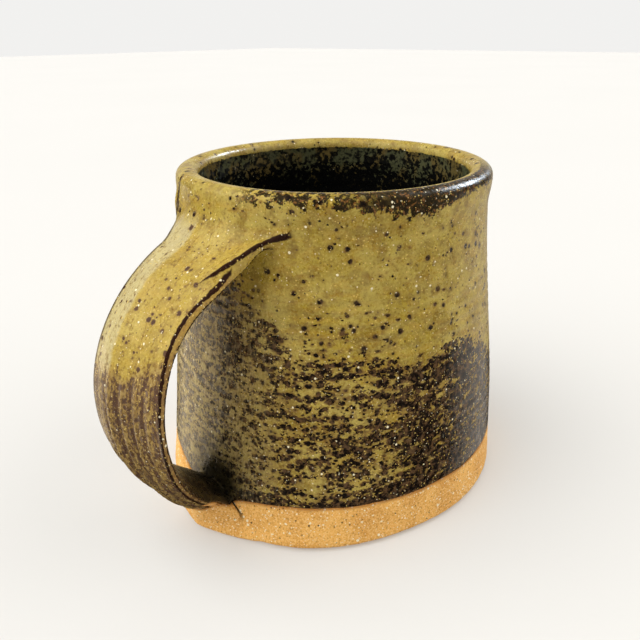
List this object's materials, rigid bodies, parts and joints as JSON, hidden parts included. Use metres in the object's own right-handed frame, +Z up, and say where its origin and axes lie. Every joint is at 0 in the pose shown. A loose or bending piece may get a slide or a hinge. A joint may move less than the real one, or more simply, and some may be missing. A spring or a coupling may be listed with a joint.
{
  "type": "ceramic mug",
  "caption": "Handmade stoneware drinking mug, widening towards its bare clay foot, with a pulled strap handle and dipped ash and iron glazes.",
  "frame": {"origin": "centre of the thrown foot, on the table", "axes": "+Z up along the throwing axis; the handle points along -X"},
  "size_m": [0.1237, 0.0994, 0.09],
  "materials": {
    "bare_stoneware": "unglazed orange-tan stoneware with white grog, rough and matt",
    "handle_clay": "the same stoneware, pulled into a strap, rough and matt",
    "joining_slip": "fired joining slip, matt",
    "iron_glaze": "semi-gloss dark iron glaze, mottled along the throwing lines",
    "ash_glaze": "satin olive-yellow ash glaze with dark specks",
    "liner_glaze": "glossy near-black glaze, speckled olive below the lip"
  },
  "bodies": {
    "root": {"cup_body": "bare_stoneware", "strap_handle": "handle_clay", "upper_joint_slip": "joining_slip", "lower_joint_slip": "joining_slip", "iron_glaze_coat": "iron_glaze", "ash_glaze_coat": "ash_glaze", "liner_glaze": "liner_glaze"}
  },
  "joints": []
}
